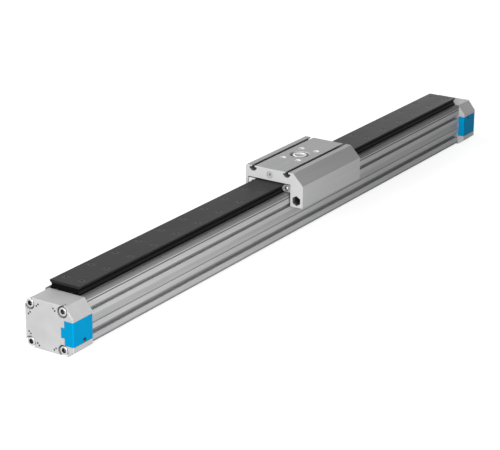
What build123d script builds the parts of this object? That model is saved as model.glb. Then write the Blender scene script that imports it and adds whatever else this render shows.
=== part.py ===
from build123d import *
import os

# A linear guide axis without a drive, 850 mm long, in millimetres.
# X runs along the axis with 0 at mid length, Y runs across it with 0 on the profile's middle plane,
# and Z is up with 0 on the flat underside. The side covers and the deep slide skirt are on the -Y side.

# Overall lengths
total_length = 850.0
cap_depth = 30.5
slide_length = 128.0
slide_rest_x = 40.0

# Shapes shared by several fasteners
countersink_half_angle = 45.0
hexagon_sides = 6
hexagon_half_turn = 30.0
thread_clearance = 0.05

# Extruded profile
profile_width = 50.0
profile_height = 52.2
profile_bottom_chamfer = 2.2
profile_top_radius = 2.6
barrel_bore_base_wall = 8.5
barrel_bore_top_wall = 11.7
barrel_bore_side_wall = 2.6
foot_slot_z = 12.4
foot_slot_opening = 5.6
foot_slot_width = 7.6
foot_slot_lip = 2.0
foot_slot_depth = 6.4
sensor_slot_drop = 14.95
sensor_slot_opening = 4.4
sensor_slot_width = 6.6
sensor_slot_lip = 1.4
sensor_slot_depth = 5.2
side_recess_lift = 0.475
side_recess_height = 8.4
side_recess_depth = 0.8
line_groove_width = 0.9
line_groove_depth = 0.7
side_line_drop = 5.6
top_line_offset = 2.3
base_line_y = 9.0
base_line_width = 3.0
rail_channel_depth = 10.0

# Guide rail with a V notch along each side
rail_edge_inset = 6.0
rail_height = 9.2
rail_lip_height = 1.2
rail_notch_depth = 2.4
rail_notch_flat = 2.0
rail_foot_inset = 0.6
rail_relief_depth = 1.6
rail_relief_width = 7.6
rail_edge_chamfer = 0.5
rail_screw_pitch = 40.0
rail_screw_end_margin = 12.0
rail_screw_row_y = 9.5
rail_screw_radius = 2.5
rail_screw_head_radius = 4.6
rail_screw_clearance = 0.25
rail_screw_set_below = 0.2
rail_screw_reach = 8.0

# End caps, offset so that they stand out further on the -Y side
cap_plus_overhang = 1.3
cap_minus_overhang = 8.3
cap_plus_top_chamfer = 7.0
cap_plus_base_chamfer = 6.0
cap_minus_top_chamfer_y = 9.4
cap_minus_top_chamfer_z = 11.6
cap_minus_base_chamfer_y = 7.5
cap_minus_base_chamfer_z = 5.8
cap_face_chamfer = 1.0
cap_spigot_length = 5.0
cap_spigot_clearance = 0.1
cap_screw_side_margin = 4.7
cap_screw_base_margin = 5.3
cap_screw_top_margin = 6.3
cap_screw_radius = 3.0
cap_screw_core_radius = 2.45
cap_screw_hole_clearance = 0.3
cap_screw_head_radius = 5.0
cap_screw_head_height = 6.0
cap_counterbore_radius = 6.3
cap_screw_set_below = 0.7
cap_screw_reach = 16.0
cap_screw_socket = 5.0
cap_screw_socket_depth = 3.2

# Punch marks beside each cap screw, given from the screw towards the face's middle
punch_radius = 0.95
punch_depth = 2.2
punch_far = 11.0
punch_near = 1.4
punch_step = 2.1

# Clip-on side covers
cover_wall = 1.8
cover_edge_margin = 4.5
cover_lift = 1.1
cover_front_reach = 10.6
cover_tab_reach = 4.2
cover_tab_height = 10.6
cover_slack = 0.15
cover_notch_radius = 2.4
cover_notch_inset = 18.0
pry_pocket_depth = 9.0

# Slide body
slide_plate_height = 15.0
slide_shoulder_drop = 13.3
slide_plus_edge_width = 1.3
slide_plus_edge_height = 1.8
minus_skirt_gap = 2.6
minus_skirt_width = 16.5
minus_skirt_reach = 15.3
plus_skirt_gap = 4.2
plus_skirt_width = 3.3
plus_skirt_reach = 2.2
pocket_gap = 1.2
skirt_edge_chamfer = 0.6
carriage_slot_inset = 8.7
carriage_slot_opening = 4.2
carriage_slot_lip = 1.8
carriage_slot_width = 10.0
carriage_slot_shoulder = 1.4
carriage_slot_depth = 6.3
hex_channel_flats = 10.2
hex_channel_inset = 8.0
hex_channel_rise = 7.8

# Carriage interface on the slide's top
centre_bore_radius = 8.0
centre_bore_depth = 9.0
centre_relief_radius = 11.4
centre_relief_depth = 3.2
centre_relief_chamfer = 0.4
sleeve_wall = 2.0
sleeve_set_below = 0.3
sleeve_chamfer = 0.5
insert_spacing_x = 40.0
insert_spacing_y = 20.0
insert_radius = 3.9
insert_bore_radius = 2.5
insert_length = 10.0
insert_chamfer = 0.7

# Guide bars and their bearing liners
bar_end_inset = 0.4
bar_base_clearance = 1.0
bar_relief_length = 12.0
bar_relief_depth = 1.3
bar_adjust_gap = 0.7
liner_running_gap = 0.08
liner_wall = 1.3
liner_mouth = 0.7
bar_screw_radius = 2.0
bar_screw_core_radius = 1.65
bar_screw_head_radius = 3.8
bar_screw_clearance = 0.2
bar_screw_pitch = 30.0
bar_screw_count = 4
bar_screw_reach = 4.6
bar_screw_set_below = 0.2
end_screw_offset = 2.9
end_screw_head_radius = 2.5
end_screw_head_height = 2.2
end_screw_radius = 1.5
end_screw_reach = 9.0
end_screw_pocket_radius = 2.9
end_screw_socket = 2.0
end_screw_socket_depth = 1.2
adjust_screw_radius = 2.5
adjust_screw_pitch = 36.0
adjust_screw_count = 3
adjust_screw_socket = 2.5
adjust_screw_socket_depth = 1.6

# Lubrication port screws in the slide's end faces
port_screw_radius = 4.0
port_screw_length = 5.0
port_screw_set_below = 0.3
port_depth = 9.0
port_drop = 7.0
port_socket = 3.0
port_socket_depth = 1.8

# Values of the profile, the rail and the caps that follow from the ones above
barrel_length = total_length - 2 * cap_depth
barrel_end_x = barrel_length / 2
barrel_bore_height = profile_height - barrel_bore_base_wall - barrel_bore_top_wall
barrel_bore_width = profile_width - 2 * (foot_slot_depth + barrel_bore_side_wall)
barrel_bore_radius = min(barrel_bore_height, barrel_bore_width) / 2
barrel_bore_z = barrel_bore_base_wall + barrel_bore_height / 2
sensor_slot_z = profile_height - sensor_slot_drop
side_recess_z = (foot_slot_z + sensor_slot_z) / 2 + side_recess_lift
side_line_z = profile_height - side_line_drop
rail_half_width = profile_width / 2 - rail_edge_inset
top_line_y = rail_half_width + top_line_offset
rail_screw_pairs = 1 + int((barrel_length - 2 * rail_screw_end_margin) // rail_screw_pitch)
rail_base_z = profile_height
rail_top_z = rail_base_z + rail_height
notch_top_z = rail_top_z - rail_lip_height
notch_mid_z = notch_top_z - rail_notch_depth - rail_notch_flat / 2
notch_bottom_y = rail_half_width - rail_notch_depth
rail_foot_y = rail_half_width - rail_foot_inset
notch_low_z = notch_mid_z - rail_notch_flat / 2 - (rail_foot_y - notch_bottom_y)
rail_screw_top_z = rail_top_z - rail_screw_set_below
rail_screw_cone = rail_screw_head_radius - rail_screw_radius
pocket_top_z = rail_top_z + pocket_gap
bar_base_z = profile_height + bar_base_clearance
bar_length = slide_length - 2 * bar_end_inset
cap_plus_y = profile_width / 2 + cap_plus_overhang
cap_minus_y = -profile_width / 2 - cap_minus_overhang
cap_screw_pitch_y = profile_width - 2 * cap_screw_side_margin
cap_screw_pitch_z = profile_height - cap_screw_base_margin - cap_screw_top_margin
cap_screw_mid_z = cap_screw_base_margin + cap_screw_pitch_z / 2
cap_side_height = profile_height - cap_minus_top_chamfer_z - cap_minus_base_chamfer_z
cover_height = cap_side_height - 2 * cover_edge_margin
cover_mid_z = cap_minus_base_chamfer_z + cap_side_height / 2 + cover_lift
cover_front_y = cap_minus_y + cover_front_reach
cover_rear_y = -profile_width / 2

# Values of the slide that follow from the ones above
slide_start_x = slide_rest_x - slide_length / 2
slide_top_z = rail_top_z + slide_plate_height
slide_shoulder_z = slide_top_z - slide_shoulder_drop
pocket_minus_y = -profile_width / 2 - minus_skirt_gap
pocket_plus_y = profile_width / 2 + plus_skirt_gap
slide_minus_y = pocket_minus_y - minus_skirt_width
slide_plus_y = pocket_plus_y + plus_skirt_width
slide_half_top = slide_plus_y - slide_plus_edge_width
skirt_base_z = profile_height - minus_skirt_reach
plus_skirt_base_z = profile_height - plus_skirt_reach
carriage_slot_y = slide_half_top - carriage_slot_inset
carriage_slot_slant = carriage_slot_depth - carriage_slot_lip - carriage_slot_shoulder
carriage_slot_base = carriage_slot_width / 2 - carriage_slot_slant
hex_channel_y = pocket_minus_y - hex_channel_inset
hex_channel_z = skirt_base_z + hex_channel_rise
port_z = slide_top_z - port_drop
bar_screw_y = -pocket_minus_y - bar_screw_head_radius
bar_screw_base_z = bar_base_z + bar_screw_set_below
bar_screw_cone = bar_screw_head_radius - bar_screw_radius - bar_screw_clearance
end_screw_y = rail_half_width + end_screw_offset
os.makedirs("parts", exist_ok=True)


def save(part, label):
    """Labels a finished piece and writes it to its own file."""
    part.label = label
    export_step(part, f"parts/{label}.step")


def fill_outline(points, mode=Mode.ADD):
    """Adds the closed outline through the points to the sketch in hand, or cuts it out."""
    Polygon(*points, align=None, mode=mode)


# Profile: one aluminium extrusion with a round bore, four corner screw channels, two slots in each side
# and two narrow channels under the rail that its screws cut their threads in
def side_slot(side, mid_z, opening, width, lip, depth):
    """Cuts one slot with a narrow mouth and a wider inside into the section's side."""
    edge_y = side * profile_width / 2
    with Locations((edge_y - side * depth / 2, mid_z)):
        Rectangle(depth, opening, mode=Mode.SUBTRACT)
    with Locations((edge_y - side * (lip + depth) / 2, mid_z)):
        Rectangle(depth - lip, width, mode=Mode.SUBTRACT)


def cap_screw_places():
    """Places of the four screws of a cap, and of the channels that they are driven into."""
    return GridLocations(cap_screw_pitch_y, cap_screw_pitch_z, 2, 2)


with BuildPart() as profile_barrel:
    with BuildSketch(Plane.YZ.offset(-barrel_end_x)) as profile_section:
        with Locations((0, profile_height / 2)):
            Rectangle(profile_width, profile_height)
        chamfer(profile_section.vertices().group_by(Axis.Y)[0], profile_bottom_chamfer)
        fillet(profile_section.vertices().group_by(Axis.Y)[-1], profile_top_radius)
        with Locations((0, barrel_bore_z)):
            Circle(barrel_bore_radius, mode=Mode.SUBTRACT)
        with Locations((0, cap_screw_mid_z)):
            with cap_screw_places():
                Circle(cap_screw_core_radius + thread_clearance, mode=Mode.SUBTRACT)
        for side in (-1, 1):
            side_slot(side, foot_slot_z, foot_slot_opening, foot_slot_width, foot_slot_lip, foot_slot_depth)
            side_slot(
                side,
                sensor_slot_z,
                sensor_slot_opening,
                sensor_slot_width,
                sensor_slot_lip,
                sensor_slot_depth,
            )
            with Locations((side * (profile_width - side_recess_depth) / 2, side_recess_z)):
                Rectangle(side_recess_depth, side_recess_height, mode=Mode.SUBTRACT)
            with Locations((side * (profile_width - line_groove_depth) / 2, side_line_z)):
                Rectangle(line_groove_depth, line_groove_width, mode=Mode.SUBTRACT)
            with Locations((side * top_line_y, profile_height - line_groove_depth / 2)):
                Rectangle(line_groove_width, line_groove_depth, mode=Mode.SUBTRACT)
            with Locations((side * base_line_y, line_groove_depth / 2)):
                Rectangle(base_line_width, line_groove_depth, mode=Mode.SUBTRACT)
            with Locations((side * rail_screw_row_y, profile_height - rail_channel_depth / 2)):
                Rectangle(
                    2 * (rail_screw_radius + thread_clearance), rail_channel_depth, mode=Mode.SUBTRACT
                )
    extrude(amount=barrel_length)
save(profile_barrel.part, "profile_barrel")


# Guide rail: flat black bar with overhanging top edges, a V notch along each side and three feet below
def rail_screw_places():
    """Places of the rail's screw pairs, seen from above."""
    return GridLocations(rail_screw_pitch, 2 * rail_screw_row_y, rail_screw_pairs, 2)


with BuildPart() as guide_rail:
    with BuildSketch(Plane.YZ.offset(-barrel_end_x)):
        fill_outline([
            (0, rail_base_z),
            (rail_foot_y, rail_base_z),
            (rail_foot_y, notch_low_z),
            (notch_bottom_y, notch_mid_z - rail_notch_flat / 2),
            (notch_bottom_y, notch_mid_z + rail_notch_flat / 2),
            (rail_half_width, notch_top_z),
            (rail_half_width, rail_top_z - rail_edge_chamfer),
            (rail_half_width - rail_edge_chamfer, rail_top_z),
            (0, rail_top_z),
        ])
        with Locations((rail_screw_row_y, rail_base_z + rail_relief_depth / 2)):
            Rectangle(rail_relief_width, rail_relief_depth, mode=Mode.SUBTRACT)
        mirror(about=Plane.YZ)
    extrude(amount=barrel_length)
    with BuildSketch(Plane.XY.offset(rail_top_z)):
        with rail_screw_places():
            Circle(rail_screw_radius + rail_screw_clearance)
    extrude(amount=-rail_height, mode=Mode.SUBTRACT)
    with BuildSketch(Plane.XY.offset(rail_top_z)):
        with rail_screw_places():
            Circle(rail_screw_head_radius + rail_screw_set_below)
    extrude(
        amount=-(rail_screw_cone + rail_screw_set_below - rail_screw_clearance),
        taper=countersink_half_angle,
        mode=Mode.SUBTRACT,
    )
save(guide_rail.part, "guide_rail")

# Rail screws: countersunk, sunk just below the rail's top, with their ends in the profile's channels
with BuildPart() as rail_screws:
    with BuildSketch(Plane.XY.offset(rail_screw_top_z)):
        with rail_screw_places():
            Circle(rail_screw_radius)
    extrude(amount=-(rail_screw_top_z - rail_base_z + rail_screw_reach))
    with BuildSketch(Plane.XY.offset(rail_screw_top_z)):
        with rail_screw_places():
            Circle(rail_screw_head_radius)
    extrude(amount=-(rail_screw_cone - rail_screw_clearance), taper=countersink_half_angle)
save(rail_screws.part, "rail_screws")


# End caps: cast aluminium, with a spigot in the profile's bore and counterbores that break out of the corners
def cover_blank(side, slack):
    """Shape of a side cover that folds round the cap's -Y edge, with its edges let out by the slack."""
    inward = -side
    front_x = side * total_length / 2
    rear_x = front_x + inward * cap_depth
    height = cover_height + 2 * slack
    inner_y = cap_minus_y + cover_wall
    with BuildPart() as blank:
        with BuildSketch(Plane.XY.offset(cover_mid_z - height / 2)):
            fill_outline([
                (front_x, cap_minus_y),
                (rear_x, cap_minus_y),
                (rear_x, cover_rear_y - cover_slack + slack),
                (rear_x - inward * cover_wall, cover_rear_y - cover_slack + slack),
                (rear_x - inward * cover_wall, inner_y),
                (front_x + inward * cover_wall, inner_y),
                (front_x + inward * cover_wall, cover_front_y + slack),
                (front_x, cover_front_y + slack),
            ])
        extrude(amount=height)
        with BuildSketch(Plane.YZ.offset(front_x)):
            with Locations((cover_front_y + (cover_tab_reach + slack) / 2, cover_mid_z)):
                Rectangle(cover_tab_reach + slack, cover_tab_height + 2 * slack)
        extrude(amount=inward * cover_wall)
    return blank.part


def end_cap(side, notch_side):
    """One cap. Side is -1 or 1 along X, and notch_side says which edge of its cover has the notch."""
    inward = -side
    front_x = side * total_length / 2
    with BuildPart() as cap:
        with BuildSketch(Plane.YZ.offset(front_x)):
            fill_outline([
                (cap_plus_y - cap_plus_base_chamfer, 0),
                (cap_plus_y, cap_plus_base_chamfer),
                (cap_plus_y, profile_height - cap_plus_top_chamfer),
                (cap_plus_y - cap_plus_top_chamfer, profile_height),
                (cap_minus_y + cap_minus_top_chamfer_y, profile_height),
                (cap_minus_y, profile_height - cap_minus_top_chamfer_z),
                (cap_minus_y, cap_minus_base_chamfer_z),
                (cap_minus_y + cap_minus_base_chamfer_y, 0),
            ])
        extrude(amount=inward * cap_depth)
        front_face = cap.faces().sort_by(lambda face: side * face.center().X)[-1]
        chamfer(front_face.edges(), cap_face_chamfer)
        with BuildSketch(Plane.YZ.offset(front_x + inward * cap_depth)):
            with Locations((0, barrel_bore_z)):
                Circle(barrel_bore_radius - cap_spigot_clearance)
        extrude(amount=inward * cap_spigot_length)
        with BuildSketch(Plane.YZ.offset(front_x)):
            with Locations((0, cap_screw_mid_z)):
                with cap_screw_places():
                    Circle(cap_screw_radius + cap_screw_hole_clearance)
        extrude(amount=inward * cap_depth, mode=Mode.SUBTRACT)
        with BuildSketch(Plane.YZ.offset(front_x)):
            with Locations((0, cap_screw_mid_z)):
                with cap_screw_places():
                    Circle(cap_counterbore_radius)
        extrude(amount=inward * (cap_screw_set_below + cap_screw_head_height), mode=Mode.SUBTRACT)
        with BuildSketch(Plane.YZ.offset(front_x)):
            for y_side in (-1, 1):
                for z_side in (-1, 1):
                    screw_y = y_side * cap_screw_pitch_y / 2
                    screw_z = cap_screw_mid_z + z_side * cap_screw_pitch_z / 2
                    for step in (0, 1):
                        slant = step * punch_step
                        along = screw_y - y_side * (punch_far - slant)
                        with Locations((along, screw_z + z_side * (punch_near - slant))):
                            Circle(punch_radius)
                        if y_side > 0:
                            across = screw_z - z_side * (punch_far - slant)
                            with Locations((screw_y + punch_near - slant, across)):
                                Circle(punch_radius)
        extrude(amount=inward * punch_depth, mode=Mode.SUBTRACT)
        add(cover_blank(side, cover_slack), mode=Mode.SUBTRACT)
        with BuildSketch(Plane.XZ.offset(-cap_minus_y)):
            with Locations((
                front_x + inward * cover_notch_inset,
                cover_mid_z + notch_side * (cover_height / 2 - cover_notch_radius),
            )):
                Circle(cover_notch_radius)
        extrude(amount=-(cover_wall + pry_pocket_depth), mode=Mode.SUBTRACT)
    return cap.part


def side_cover(side, notch_side):
    """One moulded cover, with a round-ended notch in its lower or upper edge."""
    inward = -side
    front_x = side * total_length / 2
    edge_z = cover_mid_z + notch_side * cover_height / 2
    with BuildPart() as cover:
        add(cover_blank(side, 0))
        with BuildSketch(Plane.XZ.offset(-cap_minus_y)):
            with Locations((front_x + inward * cover_notch_inset, edge_z - notch_side * cover_notch_radius)):
                Circle(cover_notch_radius)
            mouth_z = edge_z - notch_side * cover_notch_radius / 2
            with Locations((front_x + inward * cover_notch_inset, mouth_z)):
                Rectangle(2 * cover_notch_radius, cover_notch_radius)
        extrude(amount=-cover_wall, mode=Mode.SUBTRACT)
        outer_edges = cover.edges().filter_by(Axis.Z).filter_by_position(
            Axis.Y, cap_minus_y - cover_slack, cap_minus_y + cover_slack
        )
        chamfer(outer_edges.sort_by(lambda edge: side * edge.center().X)[-1], cap_face_chamfer)
    return cover.part


def cap_screw_set(side):
    """The four socket head screws that hold one cap to the profile."""
    inward = -side
    head_x = side * (total_length / 2 - cap_screw_set_below)
    seat_x = head_x + inward * cap_screw_head_height
    with BuildPart() as screws:
        with BuildSketch(Plane.YZ.offset(head_x)):
            with Locations((0, cap_screw_mid_z)):
                with cap_screw_places():
                    Circle(cap_screw_head_radius)
        extrude(amount=inward * cap_screw_head_height)
        with BuildSketch(Plane.YZ.offset(seat_x)):
            with Locations((0, cap_screw_mid_z)):
                with cap_screw_places():
                    Circle(cap_screw_radius)
        extrude(amount=inward * (cap_depth - cap_screw_set_below - cap_screw_head_height))
        with BuildSketch(Plane.YZ.offset(side * barrel_end_x)):
            with Locations((0, cap_screw_mid_z)):
                with cap_screw_places():
                    Circle(cap_screw_core_radius)
        extrude(amount=inward * cap_screw_reach)
        with BuildSketch(Plane.YZ.offset(head_x)):
            with Locations((0, cap_screw_mid_z)):
                with cap_screw_places():
                    RegularPolygon(cap_screw_socket / 2, hexagon_sides, major_radius=False)
        extrude(amount=inward * cap_screw_socket_depth, mode=Mode.SUBTRACT)
    return screws.part


for end_name, end_side in (("near", -1), ("far", 1)):
    save(end_cap(end_side, end_side), f"{end_name}_cap")
    save(side_cover(end_side, end_side), f"{end_name}_side_cover")
    save(cap_screw_set(end_side), f"{end_name}_cap_screws")


# Slide body: extruded saddle over the rail, with a thin skirt on one side and a deep one on the other
def bar_screw_places():
    """Places of the screws that hold one guide bar, along the slide."""
    return GridLocations(bar_screw_pitch, 1, bar_screw_count, 1)


with BuildPart() as slide_body:
    with BuildSketch(Plane.YZ.offset(slide_start_x)):
        fill_outline([
            (slide_half_top, slide_top_z),
            (-slide_half_top, slide_top_z),
            (slide_minus_y, slide_shoulder_z),
            (slide_minus_y, skirt_base_z + skirt_edge_chamfer),
            (slide_minus_y + skirt_edge_chamfer, skirt_base_z),
            (pocket_minus_y - skirt_edge_chamfer, skirt_base_z),
            (pocket_minus_y, skirt_base_z + skirt_edge_chamfer),
            (pocket_minus_y, pocket_top_z),
            (pocket_plus_y, pocket_top_z),
            (pocket_plus_y, plus_skirt_base_z),
            (slide_plus_y, plus_skirt_base_z),
            (slide_plus_y, slide_top_z - slide_plus_edge_height),
        ])
        for side in (-1, 1):
            slot_y = side * carriage_slot_y
            shoulder_z = slide_top_z - carriage_slot_lip
            slot_outline = [
                (slot_y - carriage_slot_opening / 2, slide_top_z),
                (slot_y - carriage_slot_opening / 2, shoulder_z),
                (slot_y - carriage_slot_width / 2, shoulder_z),
                (slot_y - carriage_slot_width / 2, shoulder_z - carriage_slot_shoulder),
                (slot_y - carriage_slot_base, slide_top_z - carriage_slot_depth),
                (slot_y + carriage_slot_base, slide_top_z - carriage_slot_depth),
                (slot_y + carriage_slot_width / 2, shoulder_z - carriage_slot_shoulder),
                (slot_y + carriage_slot_width / 2, shoulder_z),
                (slot_y + carriage_slot_opening / 2, shoulder_z),
                (slot_y + carriage_slot_opening / 2, slide_top_z),
            ]
            fill_outline(slot_outline, mode=Mode.SUBTRACT)
        with Locations((hex_channel_y, hex_channel_z)):
            RegularPolygon(
                hex_channel_flats / 2,
                hexagon_sides,
                major_radius=False,
                rotation=hexagon_half_turn,
                mode=Mode.SUBTRACT,
            )
    extrude(amount=slide_length)
    with Locations(Plane.XY.offset(slide_top_z).move(Location((slide_rest_x, 0, 0)))):
        Hole(centre_bore_radius, depth=centre_bore_depth)
        Hole(centre_relief_radius, depth=centre_relief_depth)
        with GridLocations(insert_spacing_x, insert_spacing_y, 2, 2):
            Hole(insert_radius, depth=insert_length)
    mouth_edges = slide_body.edges().filter_by(GeomType.CIRCLE).group_by(Axis.Z)[-1]
    chamfer(mouth_edges.sort_by(SortBy.RADIUS)[-1], centre_relief_chamfer)
    for side in (-1, 1):
        with BuildSketch(Plane.XY.offset(pocket_top_z).move(Location((slide_rest_x, 0, 0)))):
            with Locations((0, side * bar_screw_y)):
                with bar_screw_places():
                    Circle(bar_screw_core_radius + thread_clearance)
        extrude(amount=bar_screw_reach, mode=Mode.SUBTRACT)
        with BuildSketch(Plane.YZ.offset(slide_rest_x + side * slide_length / 2)):
            with Locations((0, port_z)):
                Circle(port_screw_radius + thread_clearance)
        extrude(amount=-side * port_depth, mode=Mode.SUBTRACT)
    with BuildSketch(Plane.XZ.offset(-slide_plus_y)):
        with Locations((slide_rest_x, notch_mid_z)):
            with GridLocations(adjust_screw_pitch, 1, adjust_screw_count, 1):
                Circle(adjust_screw_radius + thread_clearance)
    extrude(amount=slide_plus_y - pocket_plus_y, mode=Mode.SUBTRACT)
save(slide_body.part, "slide_body")


# Guide bars and liners: each bar carries a bearing liner whose nose runs in the rail's V notch
def nose_points(side, gap):
    """Outline of a nose that stays the gap away from the notch, from its upper to its lower mouth point."""
    tip_y = notch_bottom_y + gap
    half_flat = rail_notch_flat / 2 - gap * (2 ** 0.5 - 1)
    mouth_y = rail_half_width + liner_mouth
    rise = mouth_y - tip_y
    return [
        (side * mouth_y, notch_mid_z + half_flat + rise),
        (side * tip_y, notch_mid_z + half_flat),
        (side * tip_y, notch_mid_z - half_flat),
        (side * mouth_y, notch_mid_z - half_flat - rise),
    ]


def bearing_liner(side):
    """The polymer liner along one guide bar's nose."""
    outer = nose_points(side, liner_running_gap)
    inner = nose_points(side, liner_running_gap + liner_wall)
    with BuildPart() as liner:
        with BuildSketch(Plane.YZ.offset(slide_rest_x - bar_length / 2)):
            fill_outline(outer + inner[::-1])
        extrude(amount=bar_length)
    return liner.part


def guide_bar(side, wall_y):
    """One aluminium guide bar, from the inside of its liner to the given outer face."""
    nose = nose_points(side, liner_running_gap + liner_wall)
    mouth_y = nose[0][0]
    with BuildPart() as bar:
        with BuildSketch(Plane.YZ.offset(slide_rest_x - bar_length / 2)):
            fill_outline([
                (wall_y, pocket_top_z),
                (mouth_y, pocket_top_z),
                *nose,
                (mouth_y, bar_base_z),
                (wall_y, bar_base_z),
            ])
        extrude(amount=bar_length)
        for end in (-1, 1):
            end_x = slide_rest_x + end * bar_length / 2
            with BuildSketch(Plane.YZ.offset(end_x)):
                with Locations(((mouth_y + wall_y) / 2, pocket_top_z - bar_relief_depth / 2)):
                    Rectangle(abs(wall_y - mouth_y), bar_relief_depth)
            extrude(amount=-end * bar_relief_length, mode=Mode.SUBTRACT)
            with BuildSketch(Plane.YZ.offset(end_x)):
                with Locations((side * end_screw_y, notch_mid_z)):
                    Circle(end_screw_pocket_radius)
            extrude(amount=-end * end_screw_head_height, mode=Mode.SUBTRACT)
            with BuildSketch(Plane.YZ.offset(end_x)):
                with Locations((side * end_screw_y, notch_mid_z)):
                    Circle(end_screw_radius + thread_clearance)
            extrude(amount=-end * end_screw_reach, mode=Mode.SUBTRACT)
        with BuildSketch(Plane.XY.offset(bar_base_z).move(Location((slide_rest_x, 0, 0)))):
            with Locations((0, side * bar_screw_y)):
                with bar_screw_places():
                    Circle(bar_screw_radius + bar_screw_clearance)
        extrude(amount=pocket_top_z - bar_base_z, mode=Mode.SUBTRACT)
        with BuildSketch(Plane.XY.offset(bar_base_z).move(Location((slide_rest_x, 0, 0)))):
            with Locations((0, side * bar_screw_y)):
                with bar_screw_places():
                    Circle(bar_screw_head_radius + bar_screw_set_below)
        extrude(
            amount=bar_screw_head_radius + bar_screw_set_below - bar_screw_radius - bar_screw_clearance,
            taper=countersink_half_angle,
            mode=Mode.SUBTRACT,
        )
    return bar.part


save(bearing_liner(-1), "bearing_liner_minus")
save(bearing_liner(1), "bearing_liner_plus")
save(guide_bar(-1, pocket_minus_y), "guide_bar_minus")
save(guide_bar(1, pocket_plus_y - bar_adjust_gap), "guide_bar_plus")

# Guide bar screws: countersunk from below, up through the bars into the slide's top plate
def bar_screw_stage(start_z, radius, height, taper=0.0):
    """Adds one stage of all eight guide bar screws, from the given height upwards."""
    with BuildSketch(Plane.XY.offset(start_z).move(Location((slide_rest_x, 0, 0)))) as stage:
        for side in (-1, 1):
            with Locations((0, side * bar_screw_y)):
                with bar_screw_places():
                    Circle(radius)
    extrude(stage.sketch, amount=height, taper=taper)


with BuildPart() as guide_bar_screws:
    bar_screw_stage(bar_screw_base_z, bar_screw_radius, pocket_top_z - bar_screw_base_z)
    bar_screw_stage(bar_screw_base_z, bar_screw_head_radius, bar_screw_cone, countersink_half_angle)
    bar_screw_stage(pocket_top_z, bar_screw_core_radius, bar_screw_reach)
save(guide_bar_screws.part, "guide_bar_screws")


# End screws: one pan head screw in each end of each guide bar
def end_screw_places():
    """Places of the two end screws in one end of the slide."""
    return GridLocations(2 * end_screw_y, 1, 2, 1)


with BuildPart() as guide_bar_end_screws:
    for end in (-1, 1):
        end_x = slide_rest_x + end * bar_length / 2
        with BuildSketch(Plane.YZ.offset(end_x)):
            with Locations((0, notch_mid_z)):
                with end_screw_places():
                    Circle(end_screw_head_radius)
        extrude(amount=-end * end_screw_head_height)
        with BuildSketch(Plane.YZ.offset(end_x)):
            with Locations((0, notch_mid_z)):
                with end_screw_places():
                    Circle(end_screw_radius)
        extrude(amount=-end * end_screw_reach)
        with BuildSketch(Plane.YZ.offset(end_x)):
            with Locations((0, notch_mid_z)):
                with end_screw_places():
                    RegularPolygon(end_screw_socket / 2, hexagon_sides, major_radius=False)
        extrude(amount=-end * end_screw_socket_depth, mode=Mode.SUBTRACT)
save(guide_bar_end_screws.part, "guide_bar_end_screws")

# Adjusting screws: grub screws in the thin skirt that set the +Y guide bar's play
with BuildPart() as adjusting_screws:
    with BuildSketch(Plane.XZ.offset(-slide_plus_y)):
        with Locations((slide_rest_x, notch_mid_z)):
            with GridLocations(adjust_screw_pitch, 1, adjust_screw_count, 1):
                Circle(adjust_screw_radius)
    extrude(amount=slide_plus_y - pocket_plus_y + bar_adjust_gap)
    with BuildSketch(Plane.XZ.offset(-slide_plus_y)):
        with Locations((slide_rest_x, notch_mid_z)):
            with GridLocations(adjust_screw_pitch, 1, adjust_screw_count, 1):
                RegularPolygon(adjust_screw_socket / 2, hexagon_sides, major_radius=False)
    extrude(amount=adjust_screw_socket_depth, mode=Mode.SUBTRACT)
save(adjusting_screws.part, "adjusting_screws")

# Centring sleeve: hardened steel ring pressed into the slide's centre bore, standing free in the wider relief
sleeve_base_z = slide_top_z - centre_bore_depth
with BuildPart() as centring_sleeve:
    with BuildSketch(Plane.XY.offset(sleeve_base_z).move(Location((slide_rest_x, 0, 0)))):
        Circle(centre_bore_radius)
        Circle(centre_bore_radius - sleeve_wall, mode=Mode.SUBTRACT)
    extrude(amount=centre_bore_depth - sleeve_set_below)
    chamfer(centring_sleeve.edges().group_by(Axis.Z)[-1].sort_by(SortBy.RADIUS)[0], sleeve_chamfer)
save(centring_sleeve.part, "centring_sleeve")

# Thread inserts: four steel bushes for the load's screws
with BuildPart() as thread_inserts:
    with BuildSketch(Plane.XY.offset(slide_top_z - insert_length).move(Location((slide_rest_x, 0, 0)))):
        with GridLocations(insert_spacing_x, insert_spacing_y, 2, 2):
            Circle(insert_radius)
            Circle(insert_bore_radius, mode=Mode.SUBTRACT)
    extrude(amount=insert_length)
    mouth_edges = thread_inserts.edges().group_by(Axis.Z)[-1].filter_by(
        lambda edge: edge.radius < (insert_radius + insert_bore_radius) / 2
    )
    chamfer(mouth_edges, insert_chamfer)
save(thread_inserts.part, "thread_inserts")

# Port screws: grub screws that close the lubrication ports in the slide's end faces
with BuildPart() as port_screws:
    for end in (-1, 1):
        outer_x = slide_rest_x + end * (slide_length / 2 - port_screw_set_below)
        with BuildSketch(Plane.YZ.offset(outer_x)):
            with Locations((0, port_z)):
                Circle(port_screw_radius)
        extrude(amount=-end * port_screw_length)
        with BuildSketch(Plane.YZ.offset(outer_x)):
            with Locations((0, port_z)):
                RegularPolygon(port_socket / 2, hexagon_sides, major_radius=False)
        extrude(amount=-end * port_socket_depth, mode=Mode.SUBTRACT)
save(port_screws.part, "port_screws")
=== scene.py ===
import math

import bmesh
import bpy
from mathutils import Matrix, Vector


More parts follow.
